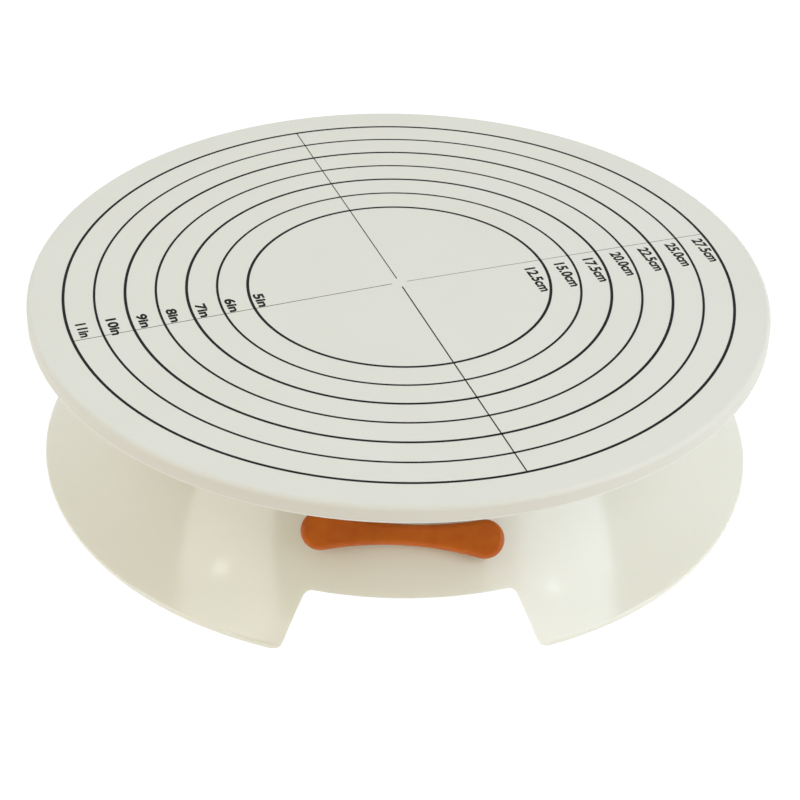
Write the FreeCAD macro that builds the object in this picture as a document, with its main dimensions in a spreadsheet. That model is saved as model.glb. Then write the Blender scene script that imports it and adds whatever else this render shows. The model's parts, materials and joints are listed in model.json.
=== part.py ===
"""Cake turntable: a 12 inch plastic plate on a flared base, with a ball race and a rocker brake.

Millimetres, +Z up. The origin is the centre of the resting plane, under the rubber feet. The
front, with the brake lever and the finger notch, faces -Y, and the plate turns about Z.
"""

import FreeCAD, Part
import Sketcher
import math
import os

DIMENSIONS = {
    # Allowances: how far cuts run past a face, how far joined features run into each other
    "cut_margin": 1.0,
    "overlap": 0.5,
    # Turning plate
    "plate_radius": 152.3,
    "plate_top": 77.1,
    "plate_floor": 3.0,
    "edge_round": 2.0,
    "skirt_depth": 7.1,
    "skirt_foot_round": 0.6,
    "skirt_wall": 2.4,
    "plate_rib_wall": 2.0,
    "plate_rib_depth": 2.1,
    "outer_ring_rib": 128.0,
    "inner_ring_rib": 108.0,
    "track_inner": 76.0,
    "track_outer": 89.0,
    "track_depth": 2.5,
    "collar_radius": 13.0,
    "collar_foot": 68.0,
    "stem_radius": 8.0,
    "stem_foot": 38.5,
    # Flared base
    "rim_radius": 149.5,
    "rim_lift": 1.0,
    "bead_height": 2.05,
    "bead_chamfer": 0.5,
    "wall": 2.6,
    "flare_radius": 157.0,
    "flare_out": 233.3,
    "flare_up": 135.5,
    "flare_start": 3.4,
    "flare_end": 63.0,
    "shoulder_radius": 91.0,
    "deck_top": 66.0,
    "deck_wall": 2.8,
    "boss_radius": 15.0,
    "boss_foot": 40.0,
    "base_rib_wall": 2.4,
    "rib_at_boss": 44.0,
    "rib_at_skirt": 40.0,
    "notch_shift": 3.4,
    "notch_top": 17.0,
    "notch_top_half": 39.7,
    "notch_foot_half": 50.3,
    "notch_depth": 100.0,
    "notch_margin": 12.0,
    "notch_below_rim": 0.1,
    "notch_round": 4.5,
    "notch_flare_round": 8.0,
    # Feet
    "foot_ring": 139.5,
    "foot_radius": 5.0,
    "foot_height": 3.6,
    "lug_half": 7.5,
    "lug_lift": 1.6,
    "lug_inset": 1.5,
    "lug_top": 13.2,
    # Ball race
    "ball_ring": 45.0,
    "ball_radius": 2.5,
    "ball_height": 69.55,
    "groove_radius": 2.65,
    "groove_depth": 0.6,
    "ball_clearance": 0.05,
    "race_half": 5.0,
    "race_margin": 1.0,
    "race_wall": 1.6,
    "cage_half": 3.5,
    "cage_wall": 2.5,
    "cage_pocket": 2.6,
    # Centre bearing and its retainer
    "bush_bore": 8.05,
    "bush_radius": 10.5,
    "bush_flange": 14.0,
    "flange_wall": 1.5,
    "thrust_bore": 8.3,
    "thrust_radius": 14.0,
    "thrust_wall": 1.2,
    "insert_radius": 3.8,
    "insert_length": 11.5,
    "retainer_radius": 13.0,
    "retainer_wall": 1.6,
    "screw_radius": 2.0,
    "screw_length": 11.0,
    "screw_head": 4.2,
    "screw_head_wall": 2.8,
    "recess_width": 1.0,
    "recess_depth": 1.4,
    # Rocker brake lever
    "pivot_height": 34.5,
    "lever_out": 118.3,
    "lever_rise": 2.9,
    "lever_lean": 41.0,
    "lever_rest": 3.3,
    "lobe_offset": 31.3,
    "lobe_radius": 7.5,
    "waist_half": 4.0,
    "lever_wall": 6.0,
    "lever_round": 2.3,
    "spindle_radius": 2.7,
    "spindle_root": 116.0,
    "spindle_end": 87.3,
    "spindle_hole": 2.85,
    "pivot_boss_half": 7.0,
    "pivot_boss_end": 92.0,
    "pivot_bush_radius": 4.5,
    "pivot_bush_bore": 2.75,
    "pivot_bush_out": 106.0,
    "wave_radius": 6.0,
    "wave_bore": 3.0,
    "wave_wall": 0.5,
    "crank_out": 91.3,
    "crank_wall": 4.0,
    "crank_hub": 6.0,
    "crank_arm": 11.0,
    "crank_end": 4.0,
    "pin_radius": 2.0,
    "pin_end": 79.2,
    "crank_screw_radius": 1.2,
    "crank_screw_length": 12.0,
    "crank_screw_head": 3.6,
    "crank_screw_wall": 2.0,
    # Brake shoe and its guide
    "shoe_out": 82.0,
    "shoe_wall": 4.6,
    "shoe_half": 9.0,
    "shoe_top": 67.0,
    "shoe_step": 46.0,
    "shoe_foot": 27.0,
    "shoe_foot_half": 18.5,
    "slot_half": 3.0,
    "slot_clearance": 0.08,
    "pad_half": 8.5,
    "pad_depth": 7.0,
    "pad_wall": 3.2,
    "pad_round": 0.6,
    "deck_slot_clearance": 0.4,
    "guide_half": 14.0,
    "guide_ear_half": 24.0,
    "guide_depth": 10.0,
    "guide_foot": 50.0,
    "guide_ear_foot": 56.0,
    "guide_clearance": 0.2,
    "guide_screw_at": 19.0,
    "guide_screw_radius": 1.5,
    "guide_screw_hole": 1.6,
    "guide_screw_length": 9.0,
    "guide_screw_head": 3.0,
    "guide_screw_wall": 1.6,
}
BALLS = 20
BASE_RIBS = 6
FEET = 6
PLATE_RIBS = 12
RECESS_SPAN = 1.2  # length of a screw's recess over the radius of its head

doc = FreeCAD.newDocument("cake_turntable")
sheet = doc.addObject("Spreadsheet::Sheet", "Sizes")


class Size:
    """A number together with the sheet expression that drives it."""

    def __init__(self, value, text):
        self.value = value
        self.text = text

    def combine(self, other, sign, value):
        return Size(value, f"({self.text} {sign} {as_size(other).text})")

    def __add__(self, other):
        return self.combine(other, "+", self.value + as_size(other).value)

    def __sub__(self, other):
        return self.combine(other, "-", self.value - as_size(other).value)

    def __mul__(self, other):
        return self.combine(other, "*", self.value * as_size(other).value)

    def __truediv__(self, other):
        return self.combine(other, "/", self.value / as_size(other).value)

    def __rsub__(self, other):
        return as_size(other) - self

    def __neg__(self):
        return Size(-self.value, f"(0 - {self.text})")

    __radd__ = __add__
    __rmul__ = __mul__


def as_size(number):
    """Return a Size for a plain number, and a Size unchanged."""
    return number if isinstance(number, Size) else Size(float(number), str(number))


def root(size):
    """Return the square root of a Size."""
    return Size(math.sqrt(size.value), f"sqrt({size.text})")


def sine(size):
    """Return the sine of an angle in degrees."""
    return Size(math.sin(math.radians(size.value)), f"sin({size.text})")


def fill_sheet():
    """Write every driving dimension to the sheet and return it as a Size."""
    sizes = {}
    for row, (alias, value) in enumerate(DIMENSIONS.items(), start=1):
        sheet.set(f"A{row}", alias)
        sheet.set(f"B{row}", str(value))
        sheet.setAlias(f"B{row}", alias)
        sizes[alias] = Size(value, f"Sizes.{alias}")
    doc.recompute()
    return sizes


D = fill_sheet()
nodes = []

plate_ceiling = D["plate_top"] - D["plate_floor"]
deck_under = D["deck_top"] - D["deck_wall"]
lower_race_top = D["deck_top"] + D["race_wall"]
upper_groove = D["ball_height"] + D["ball_radius"] + D["ball_clearance"]
upper_race_foot = upper_groove - D["groove_depth"]
upper_race_top = upper_race_foot + D["race_wall"]
retainer_foot = D["stem_foot"] - D["retainer_wall"]


def flare(height, inward):
    """Radius of the flared skirt at a height, measured inward from its outer face."""
    reach = D["flare_radius"] + inward
    rise = D["flare_up"] - height
    return D["flare_out"] - root(reach * reach - rise * rise)


# ---------------------------------------------------------------- modelling helpers


def bind(item, path, size):
    """Drive one property of an object from the sheet."""
    item.setExpression(path, as_size(size).text)


def place(item, x=0, y=0, z=0):
    """Drive an object's position from the sheet."""
    for axis, size in zip("xyz", (x, y, z)):
        bind(item, f".Placement.Base.{axis}", size)


def keep(item, label):
    """Name a finished sub-part and list it for export."""
    item.Label = label
    nodes.append(item)
    return item


def new_body(label):
    """Start a PartDesign body for one sub-part."""
    body = doc.addObject("PartDesign::Body", label)
    return keep(body, label)


def new_sketch(body, role, offset=0, lean=0):
    """Attach a sketch to an origin plane of its own body, moved along the plane's normal."""
    sketch = body.newObject("Sketcher::SketchObject", f"{body.Name}_sketch")
    planes = [plane for plane in body.Origin.OriginFeatures if plane.Role == role]
    sketch.AttachmentSupport = [(planes[0], "")]
    sketch.MapMode = "FlatFace"
    bind(sketch, ".AttachmentOffset.Base.z", offset)
    if lean:
        sketch.AttachmentOffset = FreeCAD.Placement(
            FreeCAD.Vector(0, 0, as_size(offset).value),
            FreeCAD.Rotation(FreeCAD.Vector(-1, 0, 0), lean.value),
        )
        bind(sketch, ".AttachmentOffset.Rotation.Angle", lean)
    return sketch


def hold_point(sketch, item, end, point):
    """Fix one point of a sketch at two driven distances from the sketch's origin."""
    for kind, size in zip(("DistanceX", "DistanceY"), point):
        index = sketch.addConstraint(
            Sketcher.Constraint(kind, -1, 1, item, end, as_size(size).value)
        )
        bind(sketch, f"Constraints[{index}]", size)


def vector(point):
    """Return the numeric position of a sketch point."""
    return FreeCAD.Vector(as_size(point[0]).value, as_size(point[1]).value, 0)


def outline(sketch, corners, arcs=None):
    """Draw a closed outline. arcs maps a corner's index to the (centre, radius) of its next edge."""
    arcs = arcs or {}
    count = len(corners)
    for index in range(count):
        start = vector(corners[index])
        end = vector(corners[(index + 1) % count])
        if index in arcs:
            centre = vector(arcs[index][0])
            towards = ((start + end) * 0.5 - centre).normalize()
            middle = centre + towards * as_size(arcs[index][1]).value
            curve = Part.Arc(start, middle, end)
            sketch.addGeometry(curve, False)
        else:
            sketch.addGeometry(Part.LineSegment(start, end), False)
    ends = [edge_ends(sketch, index, vector(corners[index])) for index in range(count)]
    for index in range(count):
        after = (index + 1) % count
        sketch.addConstraint(
            Sketcher.Constraint("Coincident", index, ends[index][1], after, ends[after][0])
        )
        hold_point(sketch, index, ends[index][0], corners[index])
        if index in arcs:
            radius = as_size(arcs[index][1])
            where = sketch.addConstraint(Sketcher.Constraint("Radius", index, radius.value))
            bind(sketch, f"Constraints[{where}]", radius)
    return sketch


def edge_ends(sketch, index, start):
    """Return the vertex numbers of an edge's start and end, because arcs may run backwards."""
    gap = (sketch.getPoint(index, 1) - start).Length
    return (1, 2) if gap < 1e-6 else (2, 1)


def circle(sketch, radius, centre=(0, 0)):
    """Draw a driven circle."""
    item = sketch.addGeometry(Part.Circle(vector(centre), FreeCAD.Vector(0, 0, 1), 1.0), False)
    where = sketch.addConstraint(Sketcher.Constraint("Radius", item, as_size(radius).value))
    bind(sketch, f"Constraints[{where}]", radius)
    hold_point(sketch, item, 3, centre)
    return sketch


def round_corner(sketch, item, radius):
    """Round the corner at the end of one edge of a sketch."""
    sketch.fillet(item, 2, as_size(radius).value, True, True)
    arc = sketch.GeometryCount - 1
    while not isinstance(sketch.Geometry[arc], Part.ArcOfCircle):
        arc -= 1
    where = sketch.addConstraint(Sketcher.Constraint("Radius", arc, as_size(radius).value))
    bind(sketch, f"Constraints[{where}]", radius)


def feature(body, kind, sketch, label):
    """Add one sketch-based feature to a body."""
    item = body.newObject(f"PartDesign::{kind}", f"{body.Name}_{label}")
    item.Profile = sketch
    return item


def revolve(body, sketch, label="turned"):
    """Turn a profile about the Z axis."""
    item = feature(body, "Revolution", sketch, label)
    item.ReferenceAxis = (sketch, ["V_Axis"])
    item.Angle = 360
    return item


def pad(body, sketch, length, label, symmetric=False, backwards=False):
    """Pad a sketch by a driven length."""
    item = feature(body, "Pad", sketch, label)
    bind(item, "Length", length)
    item.SideType = "Symmetric" if symmetric else "One side"
    item.Reversed = backwards
    return item


def pocket(body, sketch, length, label, symmetric=False, backwards=False):
    """Cut a sketch by a driven length and check that material went away."""
    doc.recompute()
    before = body.Shape.Volume
    item = feature(body, "Pocket", sketch, label)
    bind(item, "Length", length)
    item.SideType = "Symmetric" if symmetric else "One side"
    item.Reversed = backwards
    doc.recompute()
    assert body.Shape.Volume < before - 1e-3, f"{item.Name} cuts nothing"
    return item


def through(wall):
    """Length of a cut that runs past both faces of a wall."""
    return wall + D["cut_margin"] * 2


def polar(body, originals, count, label):
    """Repeat features about the Z axis."""
    item = body.newObject("PartDesign::PolarPattern", f"{body.Name}_{label}")
    item.Originals = originals
    axes = [axis for axis in body.Origin.OriginFeatures if axis.Role == "Z_Axis"]
    item.Axis = (axes[0], [""])
    item.Angle = 360
    item.Occurrences = count
    body.Tip = item
    return item


def turned_ring(label, inner, outer, foot, top):
    """Make a plain ring about the Z axis."""
    body = new_body(label)
    sketch = new_sketch(body, "XZ_Plane")
    outline(sketch, [(inner, foot), (outer, foot), (outer, top), (inner, top)])
    revolve(body, sketch)
    return body


def rod(label, radius, length, x=0, y=0, z=0, along_y=False):
    """Make a Part cylinder that stands up, or lies along +Y."""
    item = doc.addObject("Part::Cylinder", label)
    bind(item, "Radius", radius)
    bind(item, "Height", length)
    if along_y:
        item.Placement.Rotation = FreeCAD.Rotation(FreeCAD.Vector(-1, 0, 0), 90)
    place(item, x, y, z)
    return item


def block(label, length, width, height, x, y, z):
    """Make a Part box from its lowest corner."""
    item = doc.addObject("Part::Box", label)
    for name, size in zip(("Length", "Width", "Height"), (length, width, height)):
        bind(item, name, size)
    place(item, x, y, z)
    return item


def fuse(label, pieces):
    """Join overlapping or touching primitives."""
    item = doc.addObject("Part::MultiFuse", label)
    item.Shapes = pieces
    item.Refine = True
    return item


def cut(label, base, tool):
    """Take one shape out of another."""
    item = doc.addObject("Part::Cut", label)
    item.Base = base
    item.Tool = tool
    return item


def group(label, pieces):
    """Put identical pieces in one node as separate solids."""
    item = doc.addObject("Part::Compound", label)
    item.Links = pieces
    return keep(item, label)


def on_pivot(item):
    """Place a piece of the lever on its pivot axis, tipped to its released position."""
    item.Placement.Rotation = FreeCAD.Rotation(FreeCAD.Vector(0, 1, 0), D["lever_rest"].value)
    bind(item, ".Placement.Rotation.Angle", D["lever_rest"])
    place(item, 0, 0, D["pivot_height"])
    return item


# ---------------------------------------------------------------- turning plate


def make_plate():
    """White plate: rolled skirt, ring ribs, brake track, race seat, hub collar and stem."""
    body = new_body("turntable_plate")
    rib_foot = plate_ceiling - D["plate_rib_depth"]
    seat_inner = D["ball_ring"] - D["race_half"] - D["race_margin"]
    seat_outer = D["ball_ring"] + D["race_half"] + D["race_margin"]
    skirt_foot = D["plate_top"] - D["skirt_depth"]
    skirt_inner = D["plate_radius"] - D["skirt_wall"]
    insert_top = D["stem_foot"] + D["insert_length"]
    corners = [
        (D["plate_radius"] - D["edge_round"], D["plate_top"]),
        (D["plate_radius"], D["plate_top"] - D["edge_round"]),
        (D["plate_radius"], skirt_foot + D["skirt_foot_round"]),
        (D["plate_radius"] - D["skirt_foot_round"], skirt_foot),
        (skirt_inner, skirt_foot),
        (skirt_inner, plate_ceiling),
    ]
    for ring in (D["outer_ring_rib"], D["inner_ring_rib"]):
        corners += stepped_ring(ring, ring + D["plate_rib_wall"], rib_foot)
    corners += stepped_ring(D["track_inner"], D["track_outer"], plate_ceiling - D["track_depth"])
    corners += stepped_ring(seat_inner, seat_outer, upper_race_top)
    corners += [
        (D["collar_radius"], plate_ceiling),
        (D["collar_radius"], D["collar_foot"]),
        (D["stem_radius"], D["collar_foot"]),
        (D["stem_radius"], D["stem_foot"]),
        (D["insert_radius"], D["stem_foot"]),
        (D["insert_radius"], insert_top),
        (0, insert_top),
        (0, D["plate_top"]),
    ]
    top_round = (D["plate_radius"] - D["edge_round"], D["plate_top"] - D["edge_round"])
    foot_round = (D["plate_radius"] - D["skirt_foot_round"], skirt_foot + D["skirt_foot_round"])
    arcs = {0: (top_round, D["edge_round"]), 2: (foot_round, D["skirt_foot_round"])}
    sketch = outline(new_sketch(body, "XZ_Plane"), corners, arcs)
    revolve(body, sketch)
    rib = new_sketch(body, "XZ_Plane")
    inner = seat_outer + D["overlap"]
    outer = skirt_inner + D["overlap"]
    rib_top = plate_ceiling + D["overlap"]
    outline(rib, [(inner, rib_foot), (outer, rib_foot), (outer, rib_top), (inner, rib_top)])
    spoke = pad(body, rib, D["plate_rib_wall"], "spoke", symmetric=True)
    polar(body, [spoke], PLATE_RIBS, "spokes")


def stepped_ring(inner, outer, foot):
    """Corners of a ring that hangs below the plate's ceiling, from the outside in."""
    return [(outer, plate_ceiling), (outer, foot), (inner, foot), (inner, plate_ceiling)]


def make_retainer():
    """Threaded insert, washer and screw that hold the plate's stem down."""
    insert_top = D["stem_foot"] + D["insert_length"]
    turned_ring(
        "hub_insert", D["screw_radius"], D["insert_radius"], D["stem_foot"], insert_top
    )
    turned_ring(
        "retaining_washer",
        D["screw_radius"],
        D["retainer_radius"],
        retainer_foot,
        D["stem_foot"],
    )
    screw = slotted_screw(
        "retaining_screw",
        D["screw_head"],
        D["screw_head_wall"],
        D["screw_radius"],
        D["screw_length"] + D["retainer_wall"],
        pointing_up=True,
    )
    place(screw, 0, 0, retainer_foot)
    keep(screw, "retaining_screw")


def slotted_screw(label, head, head_wall, shank, length, pointing_up):
    """Pan-head screw with a cross recess; its origin is under the head, on the axis."""
    depth = D["recess_depth"]
    width = D["recess_width"]
    low = -head_wall if pointing_up else as_size(0)
    recess_low = low if pointing_up else head_wall - depth
    thread_low = as_size(0) if pointing_up else -length
    span = head * RECESS_SPAN
    solid = fuse(
        f"{label}_blank",
        [
            rod(f"{label}_head", head, head_wall, z=low),
            rod(f"{label}_thread", shank, length, z=thread_low),
        ],
    )
    recess = fuse(
        f"{label}_recess",
        [
            block(f"{label}_a", span, width, depth, -span / 2, -width / 2, recess_low),
            block(f"{label}_b", width, span, depth, -width / 2, -span / 2, recess_low),
        ],
    )
    return cut(f"{label}_solid", solid, recess)


# ---------------------------------------------------------------- ball race


def make_race(label, flat, face, sign):
    """Pressed steel race ring with a rolled ball groove in one face."""
    body = new_body(label)
    centre = (D["ball_ring"], face + sign * (D["groove_depth"] - D["groove_radius"]))
    sag = D["groove_radius"] - D["groove_depth"]
    half_groove = root(D["groove_radius"] * D["groove_radius"] - sag * sag)
    corners = [
        (D["ball_ring"] - D["race_half"], face),
        (D["ball_ring"] - half_groove, face),
        (D["ball_ring"] + half_groove, face),
        (D["ball_ring"] + D["race_half"], face),
        (D["ball_ring"] + D["race_half"], flat),
        (D["ball_ring"] - D["race_half"], flat),
    ]
    sketch = outline(new_sketch(body, "XZ_Plane"), corners, {1: (centre, D["groove_radius"])})
    revolve(body, sketch)


def make_balls():
    """Steel balls on the race's pitch circle."""
    balls = []
    for index in range(BALLS):
        angle = math.radians(360 * index / BALLS)
        ball = doc.addObject("Part::Sphere", f"ball_{index}")
        bind(ball, "Radius", D["ball_radius"])
        place(
            ball,
            D["ball_ring"] * math.cos(angle),
            D["ball_ring"] * math.sin(angle),
            D["ball_height"],
        )
        balls.append(ball)
    group("bearing_balls", balls)


def make_cage():
    """Plastic cage with one round pocket per ball."""
    inner = D["ball_ring"] - D["cage_half"]
    outer = D["ball_ring"] + D["cage_half"]
    low = D["ball_height"] - D["cage_wall"] / 2
    body = turned_ring("ball_cage", inner, outer, low, low + D["cage_wall"])
    sketch = new_sketch(body, "XY_Plane", low - D["cut_margin"])
    circle(sketch, D["cage_pocket"], (D["ball_ring"], 0))
    hole = pocket(body, sketch, through(D["cage_wall"]), "pocket", backwards=True)
    polar(body, [hole], BALLS, "pockets")


# ---------------------------------------------------------------- flared base


def make_base():
    """White base: flared skirt, deck, centre boss, ribs, foot lugs, pivot boss and finger notch."""
    body = new_body("base_shell")
    rim_foot = D["rim_lift"]
    bead_top = rim_foot + D["bead_height"]
    flare_centre = (D["flare_out"], D["flare_up"])
    corners = [
        (D["rim_radius"], rim_foot),
        (D["rim_radius"], bead_top - D["bead_chamfer"]),
        (D["rim_radius"] - D["bead_chamfer"], bead_top),
        (flare(D["flare_start"], 0), D["flare_start"]),
        (flare(D["flare_end"], 0), D["flare_end"]),
        (D["shoulder_radius"], D["deck_top"]),
        (D["bush_radius"], D["deck_top"]),
        (D["bush_radius"], D["boss_foot"]),
        (D["boss_radius"], D["boss_foot"]),
        (D["boss_radius"], deck_under),
        (flare(deck_under, D["wall"]), deck_under),
        (flare(rim_foot, D["wall"]), rim_foot),
    ]
    arcs = {
        3: (flare_centre, D["flare_radius"]),
        10: (flare_centre, D["flare_radius"] + D["wall"]),
    }
    revolve(body, outline(new_sketch(body, "XZ_Plane"), corners, arcs))
    add_base_ribs(body)
    add_foot_lugs(body)
    add_pivot_boss(body)
    add_deck_holes(body)
    add_finger_notch(body)


def add_base_ribs(body):
    """Ribs under the deck, from the centre boss to the middle of the skirt's wall."""
    middle = D["wall"] / 2
    inner = D["boss_radius"] - D["overlap"]
    rib = outline(
        new_sketch(body, "XZ_Plane"),
        [
            (inner, D["rib_at_boss"]),
            (flare(D["rib_at_skirt"], middle), D["rib_at_skirt"]),
            (flare(deck_under, middle), deck_under),
            (inner, deck_under + D["overlap"]),
        ],
    )
    spoke = pad(body, rib, D["base_rib_wall"], "rib", symmetric=True)
    polar(body, [spoke], BASE_RIBS, "ribs")


def add_foot_lugs(body):
    """Lugs inside the rim, each with a blind seat for a rubber foot."""
    inner = D["foot_ring"] - D["lug_half"]
    outline_corners = [
        (inner, D["lug_lift"]),
        (D["rim_radius"] - D["lug_inset"], D["lug_lift"]),
        (flare(D["lug_top"], D["wall"] / 2), D["lug_top"]),
        (inner, D["lug_top"]),
    ]
    lug_sketch = outline(new_sketch(body, "XZ_Plane"), outline_corners)
    lug = pad(body, lug_sketch, D["lug_half"] * 2, "lug", symmetric=True)
    seat_sketch = circle(new_sketch(body, "XY_Plane"), D["foot_radius"], (D["foot_ring"], 0))
    seat = pocket(body, seat_sketch, D["foot_height"], "foot_seat", backwards=True)
    polar(body, [lug, seat], FEET, "lugs")


def add_pivot_boss(body):
    """Boss behind the skirt that carries the lever's spindle, bored for its bush."""
    half = D["pivot_boss_half"]
    high = D["pivot_height"] + half
    low = D["pivot_height"] - half
    middle = D["wall"] / 2
    boss = outline(
        new_sketch(body, "YZ_Plane"),
        [
            (-D["pivot_boss_end"], low),
            (-D["pivot_boss_end"], high),
            (-flare(high, middle), high),
            (-flare(low, middle), low),
        ],
    )
    pad(body, boss, half * 2, "pivot_boss", symmetric=True)
    start = D["pivot_boss_end"] - D["cut_margin"]
    bush_seat = new_sketch(body, "XZ_Plane", start)
    circle(bush_seat, D["pivot_bush_radius"], (0, D["pivot_height"]))
    pocket(body, bush_seat, D["pivot_bush_out"] - start, "bush_seat", backwards=True)
    hole = new_sketch(body, "XZ_Plane", start)
    circle(hole, D["spindle_hole"], (0, D["pivot_height"]))
    pocket(body, hole, D["lever_out"] - start, "spindle_hole", backwards=True)


def add_deck_holes(body):
    """Slot in the deck for the brake shoe, and two screw holes for its guide."""
    gap = D["deck_slot_clearance"]
    half_x = D["shoe_half"] + gap
    half_y = D["shoe_wall"] / 2 + gap
    slot = new_sketch(body, "XY_Plane", deck_under - D["cut_margin"])
    outline(slot, rectangle(0, -D["shoe_out"], half_x, half_y))
    pocket(body, slot, through(D["deck_wall"]), "shoe_slot", backwards=True)
    holes = new_sketch(body, "XY_Plane", deck_under - D["cut_margin"])
    for side in (-1, 1):
        circle(holes, D["guide_screw_hole"], (D["guide_screw_at"] * side, -D["shoe_out"]))
    pocket(body, holes, through(D["deck_wall"]), "guide_holes", backwards=True)


def rectangle(x, y, half_x, half_y):
    """Corners of a rectangle about a centre."""
    left = as_size(x) - half_x
    right = as_size(x) + half_x
    low = as_size(y) - half_y
    high = as_size(y) + half_y
    return [(left, low), (right, low), (right, high), (left, high)]


def add_finger_notch(body):
    """Trapezoid cut out of the skirt's front edge, wide enough for four fingers."""
    shift = D["notch_shift"]
    rim = D["rim_lift"] - D["notch_below_rim"]
    wide = D["notch_foot_half"]
    narrow = D["notch_top_half"]
    reach = wide + D["notch_margin"]
    below = -D["notch_margin"]
    sketch = outline(
        new_sketch(body, "XZ_Plane", D["notch_depth"]),
        [
            (shift - reach, below),
            (shift + reach, below),
            (shift + reach, rim),
            (shift + wide, rim),
            (shift + narrow, D["notch_top"]),
            (shift - narrow, D["notch_top"]),
            (shift - wide, rim),
            (shift - reach, rim),
        ],
    )
    doc.recompute()
    rounds = {2: "notch_flare_round", 3: "notch_round", 4: "notch_round", 5: "notch_flare_round"}
    for edge, radius in rounds.items():
        round_corner(sketch, edge, D[radius])
    depth = D["rim_radius"] - D["notch_depth"] + D["cut_margin"]
    pocket(body, sketch, depth, "finger_notch", backwards=True)


def make_feet():
    """Rubber feet pressed into the lugs."""
    feet = []
    for index in range(FEET):
        angle = math.radians(360 * index / FEET)
        x = D["foot_ring"] * math.cos(angle)
        y = D["foot_ring"] * math.sin(angle)
        feet.append(rod(f"foot_{index}", D["foot_radius"], D["foot_height"], x, y))
    group("rubber_feet", feet)


def make_centre_bearing():
    """Flanged bush in the centre boss and the thrust washer under it."""
    body = new_body("centre_bush")
    flange_top = D["deck_top"] + D["flange_wall"]
    corners = [
        (D["bush_bore"], D["boss_foot"]),
        (D["bush_radius"], D["boss_foot"]),
        (D["bush_radius"], D["deck_top"]),
        (D["bush_flange"], D["deck_top"]),
        (D["bush_flange"], flange_top),
        (D["bush_bore"], flange_top),
    ]
    revolve(body, outline(new_sketch(body, "XZ_Plane"), corners))
    turned_ring(
        "thrust_washer",
        D["thrust_bore"],
        D["thrust_radius"],
        D["boss_foot"] - D["thrust_wall"],
        D["boss_foot"],
    )


# ---------------------------------------------------------------- rocker brake lever


def make_lever():
    """Translucent lever: a flat bone that leans with the skirt, on a spindle along Y."""
    body = new_body("brake_lever")
    sketch = new_sketch(body, "XZ_Plane", D["lever_out"], D["lever_lean"])
    draw_bone(sketch)
    bone = pad(body, sketch, D["lever_wall"], "bone", symmetric=True)
    doc.recompute()
    rounded = body.newObject("PartDesign::Fillet", "brake_lever_edges")
    rounded.Base = (bone, [f"Face{index + 1}" for index in broad_faces(bone.Shape)])
    bind(rounded, "Radius", D["lever_round"])
    doc.recompute()
    spindle = circle(new_sketch(body, "XZ_Plane", D["spindle_end"]), D["spindle_radius"])
    pad(body, spindle, D["spindle_root"] - D["spindle_end"], "spindle")
    hole = circle(new_sketch(body, "XZ_Plane", D["spindle_end"]), D["crank_screw_radius"])
    pocket(body, hole, D["crank_screw_length"], "screw_hole", backwards=True)
    on_pivot(body)


def draw_bone(sketch):
    """Two round lobes joined by long hollow arcs that meet them smoothly."""
    rise = D["lever_rise"]
    offset = D["lobe_offset"]
    lobe = D["lobe_radius"]
    waist = D["waist_half"]
    side = (offset * offset + waist * waist - lobe * lobe) / ((lobe - waist) * 2)
    reach = side + lobe
    join_x = offset - offset * lobe / reach
    join_y = (side + waist) * lobe / reach
    high = (join_x, rise + join_y)
    low = (join_x, rise - join_y)
    far_high = (-join_x, rise + join_y)
    far_low = (-join_x, rise - join_y)
    geometry = [
        (low, (offset + lobe, rise), high),
        (high, (0, rise + waist), far_high),
        (far_high, (-offset - lobe, rise), far_low),
        (far_low, (0, rise - waist), low),
    ]
    for points in geometry:
        sketch.addGeometry(Part.Arc(*[vector(point) for point in points]), False)
    starts = [vector(points[0]) for points in geometry]
    ends = [edge_ends(sketch, index, start) for index, start in enumerate(starts)]
    for index in range(4):
        after = (index + 1) % 4
        sketch.addConstraint(
            Sketcher.Constraint("Tangent", index, ends[index][1], after, ends[after][0])
        )
    for item, radius in ((0, lobe), (2, lobe), (1, side), (3, side)):
        where = sketch.addConstraint(Sketcher.Constraint("Radius", item, radius.value))
        bind(sketch, f"Constraints[{where}]", radius)
    hold_point(sketch, 0, 3, (offset, rise))
    hold_point(sketch, 2, 3, (-offset, rise))


def broad_faces(shape):
    """Indices of the two largest flat faces."""
    faces = sorted(range(len(shape.Faces)), key=lambda index: -shape.Faces[index].Area)
    flat = [index for index in faces if isinstance(shape.Faces[index].Surface, Part.Plane)]
    return flat[:2]


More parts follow.
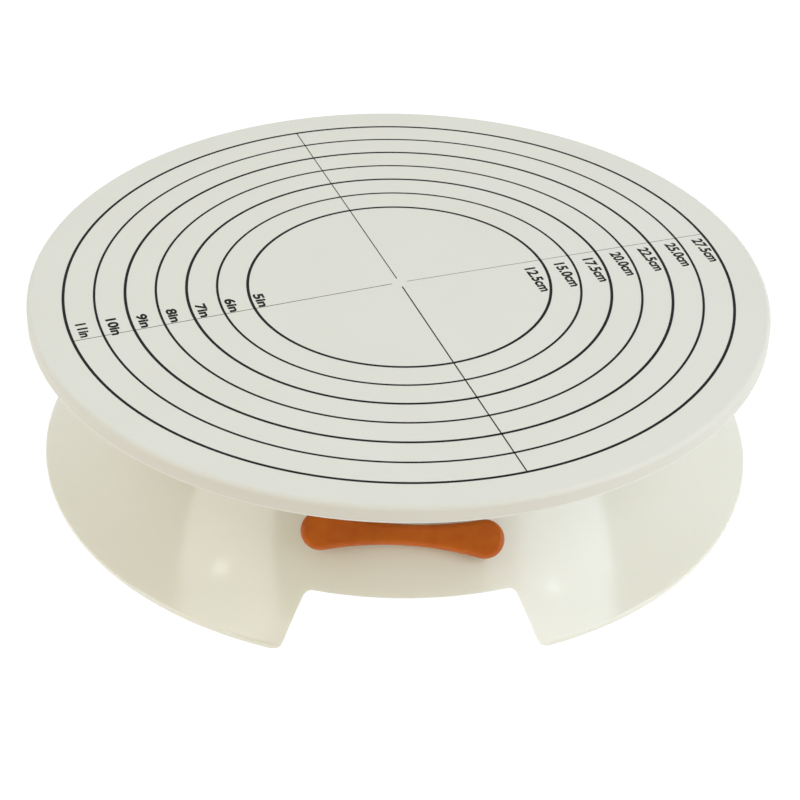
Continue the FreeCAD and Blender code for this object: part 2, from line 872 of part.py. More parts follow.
def make_lever_parts():
    """Crank, its drive pin and its screw, on the inner end of the lever's spindle."""
    crank_low = -D["crank_out"]
    wall = D["crank_wall"]
    solid = fuse(
        "crank_blank",
        [
            rod("crank_hub", D["crank_hub"], wall, y=crank_low, along_y=True),
            rod("crank_tip", D["crank_end"], wall, D["crank_arm"], crank_low, along_y=True),
            block(
                "crank_web",
                D["crank_arm"],
                wall,
                D["crank_end"] * 2,
                0,
                crank_low,
                -D["crank_end"],
            ),
        ],
    )
    bores = fuse(
        "crank_bores",
        [
            rod("crank_bore", D["spindle_radius"], wall, y=crank_low, along_y=True),
            rod("pin_bore", D["pin_radius"], wall, D["crank_arm"], crank_low, along_y=True),
        ],
    )
    keep(on_pivot(cut("lever_crank", solid, bores)), "lever_crank")
    pin = rod(
        "pin_rod",
        D["pin_radius"],
        D["crank_out"] - D["pin_end"],
        D["crank_arm"],
        crank_low,
        along_y=True,
    )
    keep(on_pivot(group_of_one("crank_pin", pin)), "crank_pin")
    head = rod(
        "crank_screw_head",
        D["crank_screw_head"],
        D["crank_screw_wall"],
        y=-D["spindle_end"],
        along_y=True,
    )
    shank = rod(
        "crank_screw_shank",
        D["crank_screw_radius"],
        D["crank_screw_length"],
        y=-D["spindle_end"] - D["crank_screw_length"],
        along_y=True,
    )
    slot = block(
        "crank_screw_slot",
        D["crank_screw_head"] * 2,
        D["crank_screw_wall"] / 2,
        D["recess_width"],
        -D["crank_screw_head"],
        D["crank_screw_wall"] / 2 - D["spindle_end"],
        -D["recess_width"] / 2,
    )
    screw = cut("crank_screw", fuse("crank_screw_blank", [head, shank]), slot)
    keep(on_pivot(screw), "crank_screw")


def group_of_one(label, piece):
    """Wrap one primitive, so that it can be tipped about the pivot as a whole."""
    item = doc.addObject("Part::Compound", label)
    item.Links = [piece]
    return item


def make_pivot_bearing():
    """Bush that carries the spindle, and the wave washer that gives the lever its drag."""
    height = D["pivot_height"]
    length = D["pivot_bush_out"] - D["pivot_boss_end"]
    low = -D["pivot_bush_out"]
    outer = rod("pivot_bush_blank", D["pivot_bush_radius"], length, 0, low, height, True)
    bore = rod("pivot_bush_hole", D["pivot_bush_bore"], length, 0, low, height, True)
    keep(cut("pivot_bush", outer, bore), "pivot_bush")
    face = -D["pivot_boss_end"]
    ring = rod("wave_blank", D["wave_radius"], D["wave_wall"], 0, face, height, True)
    hole = rod("wave_hole", D["wave_bore"], D["wave_wall"], 0, face, height, True)
    keep(cut("wave_washer", ring, hole), "wave_washer")


# ---------------------------------------------------------------- brake shoe


def make_shoe():
    """Sliding carrier with a cross slot for the crank's pin, and its rubber pad."""
    body = new_body("shoe_carrier")
    outer = D["shoe_foot_half"]
    stem = D["shoe_half"]
    sketch = outline(
        new_sketch(body, "XZ_Plane", D["shoe_out"]),
        [
            (-outer, D["shoe_foot"]),
            (outer, D["shoe_foot"]),
            (outer, D["shoe_step"]),
            (stem, D["shoe_step"]),
            (stem, D["shoe_top"]),
            (-stem, D["shoe_top"]),
            (-stem, D["shoe_step"]),
            (-outer, D["shoe_step"]),
        ],
    )
    pad(body, sketch, D["shoe_wall"], "blade", symmetric=True)
    pin_height = D["pivot_height"] - D["crank_arm"] * sine(D["lever_rest"])
    half_height = D["pin_radius"] + D["slot_clearance"]
    slot = new_sketch(body, "XZ_Plane", D["shoe_out"])
    outline(slot, rectangle(D["crank_arm"], pin_height, D["slot_half"], half_height))
    pocket(body, slot, through(D["shoe_wall"]), "pin_slot", symmetric=True)
    rubber = new_body("brake_pad")
    half_depth = D["pad_depth"] / 2
    face = new_sketch(rubber, "XY_Plane", D["shoe_top"])
    outline(face, rectangle(0, -D["shoe_out"], D["pad_half"], half_depth))
    doc.recompute()
    rubber_block = pad(rubber, face, D["pad_wall"], "block")
    doc.recompute()
    edges = rubber.newObject("PartDesign::Fillet", "brake_pad_edges")
    edges.Base = (rubber_block, upright_edges(rubber_block.Shape))
    bind(edges, "Radius", D["pad_round"])


def upright_edges(shape):
    """Names of the edges that run along Z."""
    names = []
    for index, edge in enumerate(shape.Edges, start=1):
        if edge.BoundBox.ZLength > edge.BoundBox.XLength + edge.BoundBox.YLength:
            names.append(f"Edge{index}")
    return names


def make_guide():
    """Bracket under the deck that keeps the shoe upright, held by two screws from above."""
    body = new_body("shoe_guide")
    half = D["guide_half"]
    ear = D["guide_ear_half"]
    ear_foot = D["guide_ear_foot"]
    sketch = outline(
        new_sketch(body, "XZ_Plane", D["shoe_out"]),
        [
            (-half, D["guide_foot"]),
            (half, D["guide_foot"]),
            (half, ear_foot),
            (ear, ear_foot),
            (ear, deck_under),
            (-ear, deck_under),
            (-ear, ear_foot),
            (-half, ear_foot),
        ],
    )
    pad(body, sketch, D["guide_depth"], "bracket", symmetric=True)
    depth = through(deck_under - D["guide_foot"])
    start = D["guide_foot"] - D["cut_margin"]
    gap = D["guide_clearance"]
    half_x = D["shoe_half"] + gap
    half_y = D["shoe_wall"] / 2 + gap
    channel = new_sketch(body, "XY_Plane", start)
    outline(channel, rectangle(0, -D["shoe_out"], half_x, half_y))
    pocket(body, channel, depth, "channel", backwards=True)
    holes = new_sketch(body, "XY_Plane", start)
    for side in (-1, 1):
        circle(holes, D["guide_screw_radius"], (D["guide_screw_at"] * side, -D["shoe_out"]))
    pocket(body, holes, depth, "screw_holes", backwards=True)
    screws = []
    for side in (-1, 1):
        screw = slotted_screw(
            f"guide_screw_{'left' if side < 0 else 'right'}",
            D["guide_screw_head"],
            D["guide_screw_wall"],
            D["guide_screw_radius"],
            D["guide_screw_length"],
            pointing_up=False,
        )
        place(screw, D["guide_screw_at"] * side, -D["shoe_out"], D["deck_top"])
        screws.append(screw)
    group("guide_screws", screws)


# ---------------------------------------------------------------- build, check and write


def check_document():
    """Stop if any object failed or any sub-part is empty or invalid."""
    for item in doc.Objects:
        bad = {"Invalid", "Error"} & set(item.State)
        assert not bad, f"{item.Name} is {item.State}"
    for item in nodes:
        assert not item.Shape.isNull(), f"{item.Label} is empty"
        assert item.Shape.isValid(), f"{item.Label} is not valid"
        assert item.Shape.Solids, f"{item.Label} has no solid"


def write_parts():
    """Write one STEP file per sub-part."""
    os.makedirs("parts", exist_ok=True)
    for item in nodes:
        item.Shape.exportStep(f"parts/{item.Label}.step")
        box = item.Shape.BoundBox
        print(
            f"{item.Label:18s} solids {len(item.Shape.Solids):2d} volume {item.Shape.Volume:10.1f}"
            f"  z {box.ZMin:6.2f}..{box.ZMax:6.2f}  y {box.YMin:7.2f}..{box.YMax:7.2f}"
        )


make_plate()
make_retainer()
make_race("upper_race", upper_race_top, upper_race_foot, 1)
make_race("lower_race", D["deck_top"], lower_race_top, -1)
make_balls()
make_cage()
make_base()
make_feet()
make_centre_bearing()
make_lever()
make_lever_parts()
make_pivot_bearing()
make_shoe()
make_guide()
doc.recompute()
check_document()
write_parts()
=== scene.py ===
import bmesh
import bpy
import json
import math
from mathutils import Matrix, Vector


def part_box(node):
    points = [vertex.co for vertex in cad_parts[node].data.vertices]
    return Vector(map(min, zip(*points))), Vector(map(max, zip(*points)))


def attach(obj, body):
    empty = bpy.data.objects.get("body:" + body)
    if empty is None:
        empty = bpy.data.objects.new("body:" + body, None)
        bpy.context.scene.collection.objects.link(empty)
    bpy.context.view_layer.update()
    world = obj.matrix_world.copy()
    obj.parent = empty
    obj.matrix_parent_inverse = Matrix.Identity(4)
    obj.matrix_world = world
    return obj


# Cake turntable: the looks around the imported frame. Metres, +Z up, the front faces -Y.

MM = 0.001

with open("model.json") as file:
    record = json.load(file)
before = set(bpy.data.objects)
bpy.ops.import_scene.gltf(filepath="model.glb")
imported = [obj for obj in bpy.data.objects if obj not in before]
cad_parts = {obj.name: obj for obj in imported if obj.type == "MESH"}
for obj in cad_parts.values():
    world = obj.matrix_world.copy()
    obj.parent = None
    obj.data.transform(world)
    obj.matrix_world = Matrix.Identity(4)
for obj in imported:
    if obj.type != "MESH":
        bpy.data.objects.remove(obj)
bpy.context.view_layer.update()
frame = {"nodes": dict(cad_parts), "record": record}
plate_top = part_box("turntable_plate")[1].z

# Camera: a long lens, above the front and a little to its left
VIEW_DISTANCE = 0.8963
VIEW_ELEVATION = math.radians(31.66)
VIEW_AZIMUTH = math.radians(-1.8)
CAMERA_PITCH = math.radians(-34.76)
CAMERA_YAW = math.radians(-1.918)
CAMERA_ROLL = math.radians(1.604)
LENS = 97.6
SENSOR = 36.0

# Dome: white behind and warmer and dimmer in front, fading from one to the other over DOME_FADE
DOME_STRENGTH = 0.90
DOME_BACK = (0.97, 0.99, 0.99)
DOME_FRONT = (0.66, 0.57, 0.38)
DOME_TURN = math.radians(-22)
DOME_FADE = (-0.35, 0.85)

# Lights: a tall softbox on each side, each with its lamp as a brighter spot, and a weaker fill
LEFT_COLOUR = (0.90, 0.955, 1.0)
RIGHT_COLOUR = (0.77, 0.87, 1.0)
SOFTBOX_PLACE = (1.2, 1.2)
SOFTBOX_SIZE = (0.71, 2.1)
FILL_SIZE = (0.27, 2.1)
LAMP_DISTANCE = 1.15
LAMP_SIZE = (0.09, 0.09)
LIGHTS = (  # name, azimuth in degrees, distance and height, width and height, watts, colour
    ("softbox_left", -66, SOFTBOX_PLACE, SOFTBOX_SIZE, 7.0, LEFT_COLOUR),
    ("softbox_left_lamp", -68.4, (LAMP_DISTANCE, 1.10), LAMP_SIZE, 0.08, LEFT_COLOUR),
    ("softbox_right", 66, SOFTBOX_PLACE, SOFTBOX_SIZE, 10.3, RIGHT_COLOUR),
    ("softbox_right_lamp", 62.0, (LAMP_DISTANCE, 1.21), LAMP_SIZE, 0.10, RIGHT_COLOUR),
    ("fill_right", 42.5, SOFTBOX_PLACE, FILL_SIZE, 2.0, RIGHT_COLOUR),
)

# Floor, and the white wall far behind it
FLOOR_TONE = (0.1, 0.1, 0.1)
FLOOR_GLOW = 0.97
FLOOR_SIZE = 12.0
BACKDROP_HEIGHT = 6.0
BACKDROP_SEGMENTS = 64

# Plate: its plastic, its wall painted darker as painted shade, and the skin over its rolled edge
PLATE_TONE = (0.714, 0.714, 0.664)
PLATE_SHADE = (0.700, 0.697, 0.647)
# Painted shade: the darker colour of the plate's wall, and how much of it is blended in
WALL_SHADE_TONE = (0.630, 0.608, 0.538)
WALL_SHADE_SHARE = 0.9
EDGE_ROUND = 2.0 * MM
EDGE_DEPTH = 6.2 * MM
EDGE_SKIN = 0.01 * MM
EDGE_STEPS = 10
EDGE_SEGMENTS = 720
EDGE_CREASE = math.radians(30)

# Print: the rings and the cross, sunk by PRINT_ROOT and standing proud by PRINT_PROUD
PRINT_PROUD = 0.04 * MM
PRINT_ROOT = 0.05 * MM
INCH_RINGS = (5, 6, 7, 8, 9, 10, 11)
RING_STEP = 12.5 * MM
RING_SEGMENTS = 360
BOLD_RING = 1.2 * MM
FINE_RING = 1.0 * MM
CROSS_GAP = 3.3 * MM
CROSS_ARMS = (  # direction in degrees and width of each arm
    (17.9, 0.20 * MM),
    (109.2, 0.40 * MM),
    (199.8, 0.28 * MM),
    (288.8, 0.52 * MM),
)

# Numbers: inches stand on the left arm of the cross and centimetres on the right. INK_SPREAD
# thickens the letters. INCH_INSET holds at MIDDLE_RING and grows by INCH_DRIFT with each ring,
# and a number with an extra digit starts further along by EXTRA_LETTER_SHIFT.
INK_SPREAD = 0.22 * MM
CURVE_STEPS = 6
INCH_TURN = math.radians(19.6)
INCH_SIZE = 5.7 * MM
INCH_START = 10.2 * MM
INCH_INSET = 3.0 * MM
INCH_DRIFT = 0.25 * MM
MIDDLE_RING = 8
INCH_LETTER = 4.2 * MM
NARROW_LETTERS = {"i": 1.6 * MM, "1": 2.2 * MM}
EXTRA_LETTER_SHIFT = 1.9 * MM
CM_TURN = math.radians(18.2)
CM_SIZE = 6.4 * MM
CM_START = 3.9 * MM
CM_LENGTH = 19.0 * MM
CM_CLEARANCE = 4.6 * MM
CM_PER_INCH = 2.5


# ---------------------------------------------------------------- camera and light


def direction(azimuth, elevation):
    """Unit vector for an azimuth from the front towards +X and an elevation, in radians."""
    level = math.cos(elevation)
    return Vector((math.sin(azimuth) * level, -math.cos(azimuth) * level, math.sin(elevation)))


def make_camera():
    """Camera with a long lens, above the front."""
    data = bpy.data.cameras.new("camera")
    data.lens = LENS
    data.sensor_width = SENSOR
    camera = bpy.data.objects.new("camera", data)
    bpy.context.scene.collection.objects.link(camera)
    aim = Vector((0, 0, plate_top))
    camera.location = aim + direction(VIEW_AZIMUTH, VIEW_ELEVATION) * VIEW_DISTANCE
    turn = Matrix.Rotation(CAMERA_YAW, 3, "Z")
    tilt = Matrix.Rotation(math.pi / 2 + CAMERA_PITCH, 3, "X")
    roll = Matrix.Rotation(CAMERA_ROLL, 3, "Z")
    camera.rotation_euler = (turn @ tilt @ roll).to_euler()
    bpy.context.scene.camera = camera


def make_dome():
    """World light: white behind, fading to warmer and dimmer in front."""
    world = bpy.data.worlds.new("dome")
    bpy.context.scene.world = world
    world.use_nodes = True
    tree = world.node_tree
    tree.nodes.clear()
    place = tree.nodes.new("ShaderNodeTexCoord")
    facing = tree.nodes.new("ShaderNodeVectorMath")
    facing.operation = "DOT_PRODUCT"
    facing.inputs[1].default_value = direction(DOME_TURN, 0)
    frontness = tree.nodes.new("ShaderNodeMapRange")
    frontness.interpolation_type = "SMOOTHSTEP"
    frontness.inputs["From Min"].default_value = DOME_FADE[0]
    frontness.inputs["From Max"].default_value = DOME_FADE[1]
    mix = tree.nodes.new("ShaderNodeMix")
    mix.data_type = "RGBA"
    mix.inputs["A"].default_value = (*DOME_BACK, 1)
    mix.inputs["B"].default_value = (*DOME_FRONT, 1)
    light = tree.nodes.new("ShaderNodeBackground")
    light.inputs["Strength"].default_value = DOME_STRENGTH
    out = tree.nodes.new("ShaderNodeOutputWorld")
    tree.links.new(place.outputs["Generated"], facing.inputs[0])
    tree.links.new(facing.outputs["Value"], frontness.inputs["Value"])
    tree.links.new(frontness.outputs["Result"], mix.inputs["Factor"])
    tree.links.new(mix.outputs["Result"], light.inputs["Color"])
    tree.links.new(light.outputs["Background"], out.inputs["Surface"])


def make_light(name, azimuth, place, size, power, colour):
    """Rectangular light that stands upright and faces the vertical axis."""
    distance, height = place
    data = bpy.data.lights.new(name, "AREA")
    data.shape = "RECTANGLE"
    data.size, data.size_y = size
    data.energy = power
    data.color = colour
    light = bpy.data.objects.new(name, data)
    bpy.context.scene.collection.objects.link(light)
    away = direction(math.radians(azimuth), 0) * distance
    light.location = (away.x, away.y, height)
    light.rotation_euler = Vector((away.x, away.y, 0)).to_track_quat("Z", "Y").to_euler()


def glowing_paper(name, tone, glow):
    """Matt material of one tone that also gives off plain white light."""
    paper = bpy.data.materials.new(name)
    paper.use_nodes = True
    shader = paper.node_tree.nodes["Principled BSDF"]
    shader.inputs["Base Color"].default_value = (*tone, 1)
    shader.inputs["Roughness"].default_value = 1.0
    shader.inputs["Specular IOR Level"].default_value = 0.0
    shader.inputs["Emission Color"].default_value = (1, 1, 1, 1)
    shader.inputs["Emission Strength"].default_value = glow
    return paper


def make_floor():
    """Plain pale floor that glows a little, as white paper on a light table does."""
    mesh = bpy.data.meshes.new("floor")
    half = FLOOR_SIZE / 2
    corners = [(-half, -half, 0), (half, -half, 0), (half, half, 0), (-half, half, 0)]
    mesh.from_pydata(corners, [], [(0, 1, 2, 3)])
    floor = bpy.data.objects.new("floor", mesh)
    bpy.context.scene.collection.objects.link(floor)
    mesh.materials.append(glowing_paper("floor_paper", FLOOR_TONE, FLOOR_GLOW))


def make_backdrop():
    """White wall far behind, seen by the camera only, so that no horizon shows in a low view."""
    bm = bmesh.new()
    reach = FLOOR_SIZE / 2
    bmesh.ops.create_cone(
        bm, segments=BACKDROP_SEGMENTS, radius1=reach, radius2=reach, depth=BACKDROP_HEIGHT
    )
    mesh = bpy.data.meshes.new("backdrop")
    bm.to_mesh(mesh)
    bm.free()
    backdrop = bpy.data.objects.new("backdrop", mesh)
    backdrop.location.z = BACKDROP_HEIGHT / 2
    bpy.context.scene.collection.objects.link(backdrop)
    backdrop.visible_diffuse = False
    backdrop.visible_glossy = False
    backdrop.visible_transmission = False
    backdrop.visible_shadow = False
    mesh.materials.append(glowing_paper("backdrop_white", (0, 0, 0), 1.0))


# ---------------------------------------------------------------- material building blocks


class Finish:
    """A node material in the making: one Principled shader and the textures that feed it."""

    def __init__(self, name, **constants):
        self.material = bpy.data.materials.new(name)
        self.material.use_nodes = True
        self.tree = self.material.node_tree
        self.shader = self.tree.nodes["Principled BSDF"]
        for socket, value in constants.items():
            self.shader.inputs[socket.replace("_", " ")].default_value = value
        self.place = self.tree.nodes.new("ShaderNodeTexCoord").outputs["Object"]

    def link(self, source, target):
        """Connect an output to an input."""
        self.tree.links.new(source, target)

    def stretch(self, scale):
        """Object coordinates multiplied by a scale per axis."""
        node = self.tree.nodes.new("ShaderNodeMapping")
        node.inputs["Scale"].default_value = scale
        self.link(self.place, node.inputs["Vector"])
        return node.outputs["Vector"]

    def height(self):
        """Height above the table."""
        split = self.tree.nodes.new("ShaderNodeSeparateXYZ")
        self.link(self.place, split.inputs[0])
        return split.outputs["Z"]

    def round_place(self):
        """Coordinates that are the same all the way round the Z axis, as turning marks are."""
        flat = self.tree.nodes.new("ShaderNodeVectorMath")
        flat.operation = "MULTIPLY"
        flat.inputs[1].default_value = (1, 1, 0)
        self.link(self.place, flat.inputs[0])
        reach = self.tree.nodes.new("ShaderNodeVectorMath")
        reach.operation = "LENGTH"
        self.link(flat.outputs[0], reach.inputs[0])
        join = self.tree.nodes.new("ShaderNodeCombineXYZ")
        self.link(reach.outputs["Value"], join.inputs["X"])
        self.link(self.height(), join.inputs["Y"])
        return join.outputs[0]

    def noise(self, size, detail=3.0, roughness=0.5, place=None):
        """Noise whose grains are about size metres across."""
        node = self.tree.nodes.new("ShaderNodeTexNoise")
        node.inputs["Scale"].default_value = 1 / size
        node.inputs["Detail"].default_value = detail
        node.inputs["Roughness"].default_value = roughness
        self.link(place or self.place, node.inputs["Vector"])
        return node.outputs["Fac"]

    def remap(self, source, low, high, from_low=0.3, from_high=0.7):
        """Spread a factor over a range of values."""
        node = self.tree.nodes.new("ShaderNodeMapRange")
        node.inputs["From Min"].default_value = from_low
        node.inputs["From Max"].default_value = from_high
        node.inputs["To Min"].default_value = low
        node.inputs["To Max"].default_value = high
        self.link(source, node.inputs["Value"])
        return node.outputs["Result"]

    def blend(self, factor, first, second):
        """Mix two colours; each is three numbers or a socket."""
        node = self.tree.nodes.new("ShaderNodeMix")
        node.data_type = "RGBA"
        self.link(factor, node.inputs["Factor"])
        for socket, colour in (("A", first), ("B", second)):
            if isinstance(colour, tuple):
                node.inputs[socket].default_value = (*colour, 1)
            else:
                self.link(colour, node.inputs[socket])
        return node.outputs["Result"]

    def colour(self, source):
        """Feed the base colour."""
        self.link(source, self.shader.inputs["Base Color"])

    def roughness(self, source):
        """Feed the roughness."""
        self.link(source, self.shader.inputs["Roughness"])

    def bumps(self, *layers):
        """Stack bumps; each layer is (height socket, depth in metres)."""
        normal = None
        for height, depth in layers:
            node = self.tree.nodes.new("ShaderNodeBump")
            node.inputs["Distance"].default_value = depth
            self.link(height, node.inputs["Height"])
            if normal is not None:
                self.link(normal, node.inputs["Normal"])
            normal = node.outputs["Normal"]
        self.link(normal, self.shader.inputs["Normal"])


def moulded(name, base, shade, gloss, peel, **constants):
    """Injection-moulded plastic: faint flow clouds, uneven gloss, orange peel and fine grain."""
    finish = Finish(name, **constants)
    clouds = finish.noise(45 * MM, detail=2.0)
    specks = finish.noise(1.4 * MM, detail=4.0)
    tone = finish.blend(finish.remap(clouds, 0.0, 1.0), base, shade)
    finish.colour(finish.blend(finish.remap(specks, 0.0, 0.25), tone, shade))
    smear = finish.noise(9 * MM, detail=5.0, roughness=0.6)
    finish.roughness(finish.remap(smear, gloss[0], gloss[1]))
    waves = finish.noise(6 * MM, detail=1.0)
    grain = finish.noise(0.35 * MM)
    finish.bumps((waves, peel), (grain, peel / 4))
    return finish


def plate_finish(name):
    """Satin white of the turning plate."""
    return moulded(
        name, base=PLATE_TONE, shade=PLATE_SHADE, gloss=(0.36, 0.46), peel=0.004 * MM,
        IOR=1.49, Specular_IOR_Level=0.45,
    )


def plate_plastic():
    """Plastic of the whole plate."""
    return plate_finish("plate_plastic").material


def shaded_edge_plastic():
    """Plate plastic with painted shade: its colour turns darker down the wall, below the rolled
    edge.
    """
    finish = plate_finish("shaded_edge_plastic")
    # Painted shade: blend towards the darker wall colour from the top of the plate down the
    # rolled edge
    painted_shade = finish.remap(finish.height(), 0.0, WALL_SHADE_SHARE, plate_top, plate_top - EDGE_ROUND)
    unshaded = finish.shader.inputs["Base Color"].links[0].from_socket
    finish.colour(finish.blend(painted_shade, unshaded, WALL_SHADE_TONE))
    return finish.material


def base_plastic():
    """Glossy cream white of the flared base, a little translucent."""
    return moulded(
        "base_plastic", base=(0.752, 0.745, 0.662), shade=(0.738, 0.726, 0.638),
        gloss=(0.10, 0.15), peel=0.003 * MM,
        IOR=1.49, Specular_IOR_Level=0.9, Subsurface_Weight=0.15,
        Subsurface_Radius=(4 * MM, 3 * MM, 1.6 * MM), Subsurface_Scale=1.0,
    ).material


def amber_plastic():
    """Clear orange resin of the lever: light soaks in and warms the thin edges."""
    finish = Finish(
        "amber_plastic", IOR=1.53, Specular_IOR_Level=0.22, Subsurface_Weight=0.4,
        Subsurface_Radius=(3 * MM, 1.4 * MM, 0.4 * MM), Subsurface_Scale=1.0,
    )
    swirl = finish.noise(14 * MM, detail=3.0, roughness=0.55)
    depth = finish.noise(5 * MM, detail=4.0)
    tone = finish.blend(finish.remap(swirl, 0, 1), (0.50, 0.110, 0.006), (0.42, 0.084, 0.004))
    finish.colour(finish.blend(finish.remap(depth, 0.0, 0.35), tone, (0.60, 0.165, 0.010)))
    smear = finish.noise(8 * MM, detail=5.0)
    finish.roughness(finish.remap(smear, 0.16, 0.26))
    waves = finish.noise(4 * MM, detail=1.0)
    finish.bumps((waves, 0.012 * MM))
    return finish.material


def grey_plastic():
    """Matt grey nylon of the brake's crank, shoe and guide."""
    return moulded(
        "grey_plastic", base=(0.20, 0.21, 0.22), shade=(0.16, 0.165, 0.17),
        gloss=(0.52, 0.66), peel=0.015 * MM,
        IOR=1.52, Specular_IOR_Level=0.4,
    ).material


def acetal():
    """Natural acetal of the bushes, the thrust washer and the ball cage."""
    return moulded(
        "acetal", base=(0.72, 0.72, 0.69), shade=(0.66, 0.66, 0.62),
        gloss=(0.38, 0.50), peel=0.006 * MM,
        IOR=1.48, Subsurface_Weight=0.3, Subsurface_Radius=(2 * MM, 2 * MM, 1.8 * MM),
    ).material


def turned_metal(name, base, shade, gloss):
    """Turned or pressed metal: rings of tool marks round the Z axis, and light stains."""
    finish = Finish(name, Metallic=1.0)
    marks = finish.noise(0.12 * MM, detail=2.0, place=finish.round_place())
    stains = finish.noise(5 * MM, detail=5.0, roughness=0.65)
    finish.colour(finish.blend(finish.remap(stains, 0, 1), base, shade))
    finish.roughness(finish.remap(marks, gloss[0], gloss[1]))
    grain = finish.noise(2 * MM, detail=4.0)
    finish.bumps((marks, 0.004 * MM), (grain, 0.003 * MM))
    return finish.material


def ball_steel():
    """Polished bearing balls with a trace of fine scratches."""
    finish = Finish("ball_steel", Metallic=1.0, IOR=2.5)
    film = finish.noise(1.5 * MM, detail=5.0)
    tone = finish.blend(finish.remap(film, 0, 1), (0.78, 0.78, 0.79), (0.66, 0.67, 0.69))
    finish.colour(tone)
    scratches = finish.noise(0.3 * MM, detail=4.0, place=finish.stretch((1, 6, 1)))
    finish.roughness(finish.remap(scratches, 0.05, 0.14))
    finish.bumps((scratches, 0.0008 * MM))
    return finish.material


def rubber():
    """Matt black rubber of the feet and the brake pad, with a dusty bloom."""
    finish = Finish("rubber", IOR=1.5, Specular_IOR_Level=0.3)
    bloom = finish.noise(3 * MM, detail=5.0, roughness=0.6)
    tone = finish.blend(finish.remap(bloom, 0, 1), (0.022, 0.022, 0.023), (0.05, 0.049, 0.047))
    finish.colour(tone)
    finish.roughness(finish.remap(bloom, 0.72, 0.9))
    grain = finish.noise(0.25 * MM)
    finish.bumps((grain, 0.02 * MM))
    return finish.material


def print_ink():
    """Black screen-printed ink, slightly uneven in cover."""
    finish = Finish("print_ink", IOR=1.4, Specular_IOR_Level=0.15)
    cover = finish.noise(0.9 * MM, detail=4.0, roughness=0.6)
    tone = finish.blend(finish.remap(cover, 0, 1), (0.004, 0.004, 0.005), (0.014, 0.014, 0.015))
    finish.colour(tone)
    finish.roughness(finish.remap(cover, 0.40, 0.55))
    grain = finish.noise(0.2 * MM)
    finish.bumps((grain, 0.004 * MM))
    return finish.material


def finish_nodes():
    """Give every CAD node the material of its slot in the record."""
    materials = {
        "plate_plastic": plate_plastic(),
        "base_plastic": base_plastic(),
        "amber_plastic": amber_plastic(),
        "grey_plastic": grey_plastic(),
        "acetal": acetal(),
        "steel": turned_metal(
            "steel", base=(0.58, 0.58, 0.59), shade=(0.47, 0.47, 0.49), gloss=(0.26, 0.42)
        ),
        "ball_steel": ball_steel(),
        "brass": turned_metal(
            "brass", base=(0.76, 0.56, 0.25), shade=(0.62, 0.43, 0.17), gloss=(0.24, 0.38)
        ),
        "rubber": rubber(),
    }
    for part in frame["record"]["subparts"]:
        node = frame["nodes"][part["node"]]
        node.data.materials.clear()
        node.data.materials.append(materials[part["material_slot"]])


# ---------------------------------------------------------------- pieces on the plate


def add_piece(name, bm, material):
    """Make one piece of a bmesh and let it ride on the plate."""
    mesh = bpy.data.meshes.new(name)
    bm.to_mesh(mesh)
    bm.free()
    mesh.materials.append(material)
    piece = bpy.data.objects.new(name, mesh)
    bpy.context.scene.collection.objects.link(piece)
    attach(piece, "turntable")


def turn_profile(bm, profile, segments):
    """Add the closed ring that a closed profile of (radius, height) makes, turned about Z."""
    loops = []
    for radius, height in profile:
        angles = (math.tau * step / segments for step in range(segments))
        loops.append(
            [bm.verts.new((radius * math.cos(a), radius * math.sin(a), height)) for a in angles]
        )
    for index, loop in enumerate(loops):
        after = loops[(index + 1) % len(loops)]
        for step in range(segments):
            turn = (step + 1) % segments
            bm.faces.new((loop[step], after[step], after[turn], loop[turn]))


def make_plate_edge(plastic):
    """Fine skin over the plate's rolled edge, so that its highlight runs evenly all round."""
    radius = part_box("turntable_plate")[1].x + EDGE_SKIN
    inner = radius - 2 * EDGE_ROUND
    top = plate_top + EDGE_SKIN
    foot = plate_top - EDGE_DEPTH
    profile = []
    for step in range(EDGE_STEPS + 1):
        angle = math.pi / 2 * (1 - step / EDGE_STEPS)
        inward = EDGE_ROUND * (1 - math.cos(angle))
        down = EDGE_ROUND * (1 - math.sin(angle))
        profile.append((radius - inward, top - down))
    profile += [(radius, foot), (inner, foot), (inner, top - EDGE_ROUND)]
    bm = bmesh.new()
    turn_profile(bm, profile, EDGE_SEGMENTS)
    bmesh.ops.recalc_face_normals(bm, faces=bm.faces)
    for face in bm.faces:
        face.smooth = True
    for edge in bm.edges:
        edge.smooth = edge.calc_face_angle(0) < EDGE_CREASE
    add_piece("plate_edge", bm, plastic)


def flat_ring(bm, radius, width):
    """Closed ring of ink, seen from above as a line."""
    inner, outer = radius - width / 2, radius + width / 2
    low, high = plate_top - PRINT_ROOT, plate_top + PRINT_PROUD
    turn_profile(bm, [(inner, low), (inner, high), (outer, high), (outer, low)], RING_SEGMENTS)


def flat_bar(bm, start, end, width, turn):
    """Closed bar of ink along one arm of the cross."""
    along = Vector((math.cos(turn), math.sin(turn), 0))
    across = Vector((-along.y, along.x, 0)) * (width / 2)
    first, last = along * start, along * end
    corners = [first - across, last - across, last + across, first + across]
    low = [bm.verts.new(corner + Vector((0, 0, plate_top - PRINT_ROOT))) for corner in corners]
    high = [bm.verts.new(corner + Vector((0, 0, plate_top + PRINT_PROUD))) for corner in corners]
    bm.faces.new(reversed(low))
    bm.faces.new(high)
    for index in range(len(corners)):
        after = (index + 1) % len(corners)
        bm.faces.new((low[index], low[after], high[after], high[index]))


def make_rings(ink):
    """Seven size rings; every other one is bolder."""
    bm = bmesh.new()
    for inches in INCH_RINGS:
        flat_ring(bm, inches * RING_STEP, BOLD_RING if inches % 2 else FINE_RING)
    bmesh.ops.recalc_face_normals(bm, faces=bm.faces)
    add_piece("size_rings", bm, ink)


def make_cross(ink):
    """Four arms of the cross through the rings, each with its own weight."""
    bm = bmesh.new()
    for turn, width in CROSS_ARMS:
        flat_bar(bm, CROSS_GAP, INCH_RINGS[-1] * RING_STEP, width, math.radians(turn))
    bmesh.ops.recalc_face_normals(bm, faces=bm.faces)
    add_piece("centre_cross", bm, ink)


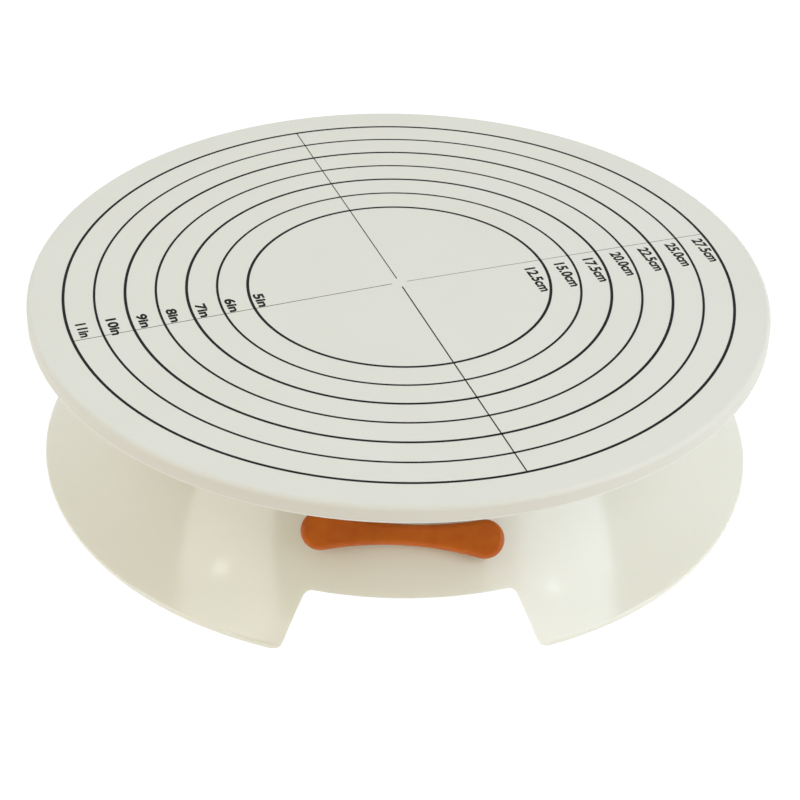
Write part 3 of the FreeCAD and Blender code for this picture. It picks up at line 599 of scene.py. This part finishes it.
def label_mesh(text, size, length, place, turn):
    """Mesh of one label whose first letter starts at place, beside an arm of the cross."""
    curve = bpy.data.curves.new("label", "FONT")
    curve.body = text
    curve.size = size
    curve.offset = INK_SPREAD
    curve.extrude = (PRINT_PROUD + PRINT_ROOT) / 2
    curve.resolution_u = CURVE_STEPS
    holder = bpy.data.objects.new("label", curve)
    bpy.context.scene.collection.objects.link(holder)
    bpy.context.view_layer.update()
    mesh = bpy.data.meshes.new_from_object(holder)
    bpy.data.objects.remove(holder)
    level = plate_top + (PRINT_PROUD - PRINT_ROOT) / 2
    across = [vertex.co.x for vertex in mesh.vertices]
    squeeze = length / (max(across) - min(across))
    reading = Matrix.Rotation(-math.pi / 2, 4, "Z") @ Matrix.Diagonal((squeeze, 1, 1, 1))
    mesh.transform(Matrix.Rotation(turn, 4, "Z") @ Matrix.Translation((*place, level)) @ reading)
    return mesh


def inch_label(inches):
    """Text, size, length, place and turn of a ring's number in inches."""
    text = f"{inches}in"
    length = sum(NARROW_LETTERS.get(letter, INCH_LETTER) for letter in text)
    inset = INCH_INSET + INCH_DRIFT * (inches - MIDDLE_RING)
    start = INCH_START + EXTRA_LETTER_SHIFT * (len(text) - len("5in"))
    return text, INCH_SIZE, length, (inset - inches * RING_STEP, start), INCH_TURN


def cm_label(inches):
    """Text, size, length, place and turn of a ring's number in centimetres."""
    text = f"{inches * CM_PER_INCH:.1f}cm"
    ring_at_foot = math.sqrt((inches * RING_STEP) ** 2 - (CM_START + CM_LENGTH) ** 2)
    return text, CM_SIZE, CM_LENGTH, (ring_at_foot - CM_CLEARANCE, -CM_START), CM_TURN


def make_numbers(ink):
    """Ring sizes, in inches inside the left of each ring and in centimetres inside its right."""
    bm = bmesh.new()
    for inches in INCH_RINGS:
        for label in (inch_label(inches), cm_label(inches)):
            mesh = label_mesh(*label)
            bm.from_mesh(mesh)
            bpy.data.meshes.remove(mesh)
    add_piece("ring_numbers", bm, ink)


# ---------------------------------------------------------------- the scene


bpy.context.scene.view_settings.view_transform = "Standard"
make_camera()
make_dome()
for light in LIGHTS:
    make_light(*light)
make_floor()
make_backdrop()
finish_nodes()
make_plate_edge(shaded_edge_plastic())
ink = print_ink()
make_rings(ink)
make_cross(ink)
make_numbers(ink)
